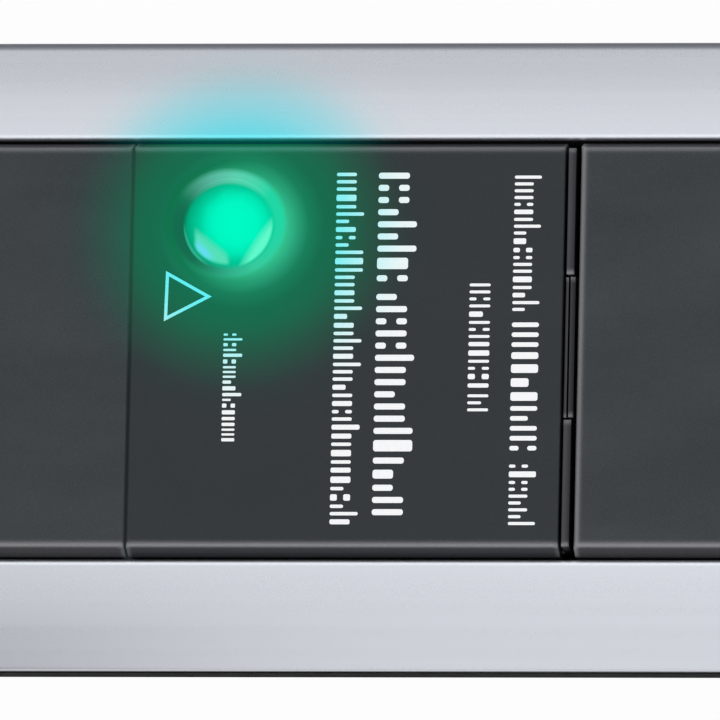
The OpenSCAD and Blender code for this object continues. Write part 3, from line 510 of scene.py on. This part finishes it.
SURFACES = {
    "base_black": base_plastic(),
    "rail_silver": rail_metal("rail_silver", lit=False, shade_outer_edge=False),
    "cover_black": covers(),
    "surge_face": surge_face(),
    "switch_black": plastic("switch_black", (0.02, 0.021, 0.0225), 0.33, grain_mm=0.3, grain_depth=0.002),
    "rubber": plastic("rubber", (0.014, 0.0145, 0.015), 0.8, grain_mm=0.35, grain_depth=0.02),
    "insulator_white": plastic("insulator_white", (0.66, 0.65, 0.61), 0.5, grain_mm=0.4, grain_depth=0.004),
    "shutter_grey": plastic("shutter_grey", (0.05, 0.05, 0.054), 0.5, grain_mm=0.3, grain_depth=0.004),
    "steel": bare_metal("steel", (0.52, 0.53, 0.55), 0.32, 0.2),
    "brass": bare_metal("brass", (0.66, 0.47, 0.2), 0.3, 0.25),
    "lens_green": lens_plastic(),
    "led_clear": clear_led(),
    "board_green": circuit_board(),
    "varistor_blue": plastic("varistor_blue", (0.03, 0.09, 0.36), 0.38, grain_mm=0.8, grain_depth=0.02),
    "gas_tube_ceramic": plastic("gas_tube_ceramic", (0.68, 0.64, 0.57), 0.55, grain_mm=0.3,
                                grain_depth=0.006),
    "capacitor_yellow": plastic("capacitor_yellow", (0.5, 0.36, 0.04), 0.42, grain_mm=0.5, grain_depth=0.006),
    "wire_brown": plastic("wire_brown", (0.13, 0.055, 0.025), 0.45, grain_mm=0.6, grain_depth=0.006),
    "wire_blue": plastic("wire_blue", (0.025, 0.09, 0.36), 0.45, grain_mm=0.6, grain_depth=0.006),
    "wire_green": plastic("wire_green", (0.18, 0.36, 0.04), 0.45, grain_mm=0.6, grain_depth=0.006),
}
LIT_RAIL = rail_metal("rail_silver_lit", lit=True, shade_outer_edge=True)
INK = print_ink()

for part in frame["record"]["subparts"]:
    node = frame["nodes"][part["node"]]
    surface = LIT_RAIL if part["node"] == "rail_rear" else SURFACES[part["material_slot"]]
    for material_slot in node.material_slots:
        material_slot.material = surface.material


# Print and marks

def add_piece(name, bm, surface, body):
    """Makes an object of a mesh, on one of the CAD bodies"""
    mesh = bpy.data.meshes.new(name)
    bm.to_mesh(mesh)
    bm.free()
    piece = bpy.data.objects.new(name, mesh)
    bpy.context.scene.collection.objects.link(piece)
    mesh.materials.append(surface.material)
    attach(piece, body)


def ring_of_points(bm, outline, height, place):
    """An outline's points at one height, in millimetres, moved by a matrix"""
    points = [Vector((x * MM, y * MM, height * MM)) for x, y in outline]
    return [bm.verts.new(place @ point) for point in points]


def walls(bm, ring, following):
    """The faces between two rings of as many points"""
    for k in range(len(ring)):
        j = (k + 1) % len(ring)
        bm.faces.new((ring[k], ring[j], following[j], following[k]))


def raised(bm, outline, low, high, place=Matrix.Identity(4)):
    """Extrudes a closed outline, anticlockwise and in millimetres, between two heights"""
    bottom, top = (ring_of_points(bm, outline, z, place) for z in (low, high))
    bm.faces.new(top)
    bm.faces.new(bottom[::-1])
    walls(bm, bottom, top)


def raised_band(bm, outer, inner, low, high, place=Matrix.Identity(4)):
    """Extrudes the closed band between two outlines of as many points, between two heights"""
    corners_of_band = ((outer, low), (outer, high), (inner, high), (inner, low))
    rings = [ring_of_points(bm, outline, z, place) for outline, z in corners_of_band]
    for ring, following in zip(rings, rings[1:] + rings[:1]):
        walls(bm, ring, following)


def rounded_bar(x0, x1, y0, y1, r, steps=5):
    """The outline of a bar with rounded corners, anticlockwise"""
    r = min(r, (x1 - x0) / 2, (y1 - y0) / 2)
    centres = ((x1 - r, y1 - r, 0), (x0 + r, y1 - r, 90), (x0 + r, y0 + r, 180), (x1 - r, y0 + r, 270))
    points = []
    for cx, cy, start in centres:
        for k in range(steps + 1):
            a = math.radians(start + 90 * k / steps)
            points.append((cx + r * math.cos(a), cy + r * math.sin(a)))
    return points


# The print's height on the face, and the widths, spaces and shapes of its marks as shares of a row's height
PRINT_LOW = FACE_Z - 0.02
PRINT_HIGH = FACE_Z + 0.03
MARK_WIDTHS = (0.17, 0.17, 0.17, 0.17, 0.25, 0.32)
MARK_SPACE = 0.2
MARK_PART = 0.34
MARK_ROUNDING = 0.08

# Rows of marks by their pixels in the picture, 720 by 720: the marks' foot, the head of common and of tall
# ones, and the row's start and end. gap is a place without marks, as shares of the row.
ROWS = (
    dict(name="print_row_small", foot=223, head=236, tall=242, start=333, end=445),
    dict(name="print_row_bold", foot=375, head=406, tall=414, start=172, end=524, weight=1.15,
         gap=(0.30, 0.345)),
    dict(name="print_row_light", foot=333, head=353, tall=361, start=172, end=527),
    dict(name="print_row_short", foot=468, head=489, tall=489, start=283, end=415, weight=0.8,
         gap=(0.78, 0.84)),
    dict(name="print_row_right_start", foot=511, head=530, tall=538, start=175, end=312, weight=0.95),
    dict(name="print_row_right_middle", foot=511, head=538, tall=538, start=322, end=455),
    dict(name="print_row_right_end", foot=511, head=530, tall=538, start=464, end=528, weight=0.95),
)
TRIANGLE_CORNERS = ((165.5, 273), (164.5, 318), (207, 296))
TRIANGLE_STROKE = 0.36

# The picture's middle in pixels, the place on the face that is there, and the picture's pixels per millimetre
# of the face, across and down
PHOTO_MIDDLE = 360
PRINT_MIDDLE = (-103.07, -1.6)
PX_PER_MM = (8.90 * 0.992, 8.90 * 0.985)


def photo_xy(px, py):
    """Millimetres on the arrester's face for a place in the picture"""
    x = PRINT_MIDDLE[0] + (px - PHOTO_MIDDLE) / PX_PER_MM[0]
    y = PRINT_MIDDLE[1] - (py - PHOTO_MIDDLE) / PX_PER_MM[1]
    return (x, y)


def print_row(rng, name, foot, head, tall, start, end, weight=1.0, gap=(1.0, 1.0)):
    """A row of plain rounded marks, running towards the front edge"""
    x0, y_start = photo_xy(foot, start)
    x1, y_end = photo_xy(head, end)
    x_tall = photo_xy(tall, start)[0]
    height, length = x1 - x0, y_start - y_end
    low, high = x0 + MARK_PART * height, x1 - MARK_PART * height
    whole = ((x0, x1),)
    shapes = (whole, whole, whole, ((x0, x_tall),), ((x0, low), (high, x1)), ((x0, high),))
    bm = bmesh.new()
    y = y_start
    while y > y_end + MARK_SPACE * height:
        if gap[0] <= (y_start - y) / length < gap[1]:
            y = y_start - gap[1] * length
            continue
        width = min(height * weight * rng.choice(MARK_WIDTHS), y - y_end)
        for bottom, top in rng.choice(shapes):
            raised(bm, rounded_bar(bottom, top, y - width, y, height * MARK_ROUNDING), PRINT_LOW, PRINT_HIGH)
        y -= width + MARK_SPACE * height
    add_piece(name, bm, INK, "housing")


def print_triangle(name):
    """An empty triangle in a thin even line, which lies between two outlines about the same middle"""
    points = [Vector(photo_xy(*corner)) for corner in TRIANGLE_CORNERS]
    sides = [(points[k - 1] - points[k - 2]).length for k in range(3)]
    middle = sum((point * side for point, side in zip(points, sides)), Vector((0, 0))) / sum(sides)
    inner_radius = (points[1] - points[0]).cross(points[2] - points[0]) / sum(sides)
    outer, inner = ([middle + (point - middle) * (1 + grown / inner_radius) for point in points]
                    for grown in (TRIANGLE_STROKE / 2, -TRIANGLE_STROKE / 2))
    bm = bmesh.new()
    raised_band(bm, outer, inner, PRINT_LOW, PRINT_HIGH)
    add_piece(name, bm, INK, "housing")


def build_print():
    """All the print on the arrester's face"""
    rng = random.Random(11)
    for row in ROWS:
        print_row(rng, **row)
    print_triangle("print_triangle")


build_print()

# The marks on the rocker's halves: how far out they are, how far above the pivot the halves meet, the heights
# of the filling on a half, the bar's half width and half length, and the ring's radii
MARK_X = 5.6
HALVES_MEET = 4.0
FILLING = (-0.05, 0.02)
BAR_HALF = (0.3, 1.9)
BAR_ROUNDING = 0.12
RING_RADII = (2.15, 1.6)
RING_STEPS = 40


def build_rocker_marks():
    """The bar and the ring moulded into the rocker's two halves, filled in white"""
    tilt = math.radians(ROCKER_TILT)
    ridge = Matrix.Rotation(tilt, 4, "Y") @ Matrix.Translation((0, 0, HALVES_MEET * MM))
    on_half, off_half = (Matrix.Translation(PIVOT) @ ridge @ Matrix.Rotation(-side * tilt, 4, "Y")
                         for side in (1, -1))

    bm = bmesh.new()
    half_w, half_l = BAR_HALF
    bar = rounded_bar(MARK_X - half_w, MARK_X + half_w, -half_l, half_l, BAR_ROUNDING)
    raised(bm, bar, *FILLING, on_half)
    add_piece("rocker_mark_on", bm, INK, "rocker")

    bm = bmesh.new()
    turns = [2 * math.pi * k / RING_STEPS for k in range(RING_STEPS)]
    outer, inner = ([(r * math.cos(a) - MARK_X, r * math.sin(a)) for a in turns] for r in RING_RADII)
    raised_band(bm, outer, inner, *FILLING, off_half)
    add_piece("rocker_mark_off", bm, INK, "rocker")


build_rocker_marks()


# Camera, light and floor

# The view: the place on the face in its middle, its lean from the vertical in degrees, its distance in
# metres, and the camera's focal length and sensor in millimetres
VIEW_MIDDLE = (-103.07, -1.543)
FROM_RIGHT = 7.15
FROM_FRONT = 10.0
VIEW_DISTANCE = 3.0
FOCAL_LENGTH = 1335.0
SENSOR_WIDTH = 36.0


def place_camera():
    """The photo's view: nearly from above, a little from the front and the right, with the strip level"""
    data = bpy.data.cameras.new("Camera")
    data.sensor_width = SENSOR_WIDTH
    data.lens = FOCAL_LENGTH
    data.clip_start = 0.05
    data.clip_end = 50.0
    camera = bpy.data.objects.new("Camera", data)
    bpy.context.scene.collection.objects.link(camera)
    back = Vector((math.tan(math.radians(FROM_RIGHT)), -math.tan(math.radians(FROM_FRONT)), 1.0)).normalized()
    right = (Vector((1, 0, 0)) - back * back.x).normalized()
    up = back.cross(right)
    spot = Vector((*VIEW_MIDDLE, FACE_Z)) * MM + back * VIEW_DISTANCE
    camera.matrix_world = Matrix.Translation(spot) @ Matrix((right, up, back)).transposed().to_4x4()
    bpy.context.scene.camera = camera


place_camera()


def area_light(name, width, depth, radiance):
    """A rectangular light that the camera doesn't see itself"""
    data = bpy.data.lights.new(name, "AREA")
    data.shape = "RECTANGLE"
    data.size, data.size_y = width, depth
    data.energy = radiance * width * depth * math.pi
    light = bpy.data.objects.new(name, data)
    bpy.context.scene.collection.objects.link(light)
    light.visible_camera = False
    return light


def panel(name, reach, tilt, distance, depth, radiance):
    """A light along the strip between two places in X, in metres. tilt is its lean from overhead towards the
    rear, in degrees, and distance its distance from the strip."""
    a = math.radians(tilt)
    away = Vector((0, math.sin(a), math.cos(a)))
    light = area_light(name, reach[1] - reach[0], depth, radiance)
    light.location = Vector(((reach[0] + reach[1]) / 2, 0, FACE_Z * MM)) + away * distance
    light.rotation_euler = (-a, 0, 0)


def overhead(name, low, high, height, radiance):
    """A level rectangular light above the strip, between two corners in plan, in metres"""
    light = area_light(name, high[0] - low[0], high[1] - low[1], radiance)
    light.location = ((low[0] + high[0]) / 2, (low[1] + high[1]) / 2, height)


overhead("light_overhead", low=(-0.7, -0.75), high=(1.4, 1.4), height=1.5, radiance=1.08)
panel("light_front", reach=(-0.174, 0.9), tilt=-60, distance=0.35, depth=0.26, radiance=0.72)
panel("light_rear", reach=(-0.40, 1.4), tilt=55, distance=0.9, depth=0.55, radiance=0.33)

# The floor's half size in metres, how much of it is seen as full white, and the room's even light
FLOOR_HALF = 6.0
FLOOR_SEEN = 0.97
ROOM_COLOUR = (0.97, 0.985, 1.0, 1.0)
ROOM_STRENGTH = 0.27


def build_floor():
    """A white floor, which the camera, mirrors and clear plastic see at nearly full white in any light"""
    bm = bmesh.new()
    signs = ((-1, -1), (1, -1), (1, 1), (-1, 1))
    bm.faces.new([bm.verts.new((x * FLOOR_HALF, y * FLOOR_HALF, 0.0)) for x, y in signs])
    mesh = bpy.data.meshes.new("floor")
    bm.to_mesh(mesh)
    bm.free()
    floor = bpy.data.objects.new("floor", mesh)
    bpy.context.scene.collection.objects.link(floor)
    s = Surface("floor_white", Roughness=0.9, Specular_IOR_Level=0.2)
    s.colour(s.ramp(s.noise(40.0), [(0.3, (0.86, 0.865, 0.87)), (0.7, (0.88, 0.885, 0.89))]))
    output = [n for n in s.tree.nodes if n.type == "OUTPUT_MATERIAL"][0]
    glow = s.add("ShaderNodeEmission")
    glow.inputs["Strength"].default_value = 1.0
    mix = s.add("ShaderNodeMixShader")
    path = s.add("ShaderNodeLightPath")
    seen = s.maths("MAXIMUM", path.outputs["Is Camera Ray"], path.outputs["Is Glossy Ray"])
    seen = s.maths("MAXIMUM", seen, path.outputs["Is Transmission Ray"])
    s.feed(s.maths("MULTIPLY", seen, FLOOR_SEEN), mix.inputs[0])
    s.tree.links.new(s.shader.outputs["BSDF"], mix.inputs[1])
    s.tree.links.new(glow.outputs[0], mix.inputs[2])
    s.tree.links.new(mix.outputs[0], output.inputs["Surface"])
    mesh.materials.append(s.material)


build_floor()


def build_world():
    """The pale light of the room, even from all sides"""
    world = bpy.data.worlds.new("studio")
    bpy.context.scene.world = world
    world.use_nodes = True
    tree = world.node_tree
    tree.nodes.clear()
    output = tree.nodes.new("ShaderNodeOutputWorld")
    room = tree.nodes.new("ShaderNodeBackground")
    room.inputs["Color"].default_value = ROOM_COLOUR
    room.inputs["Strength"].default_value = ROOM_STRENGTH
    tree.links.new(room.outputs[0], output.inputs["Surface"])


build_world()

bpy.context.scene.view_settings.view_transform = "Standard"
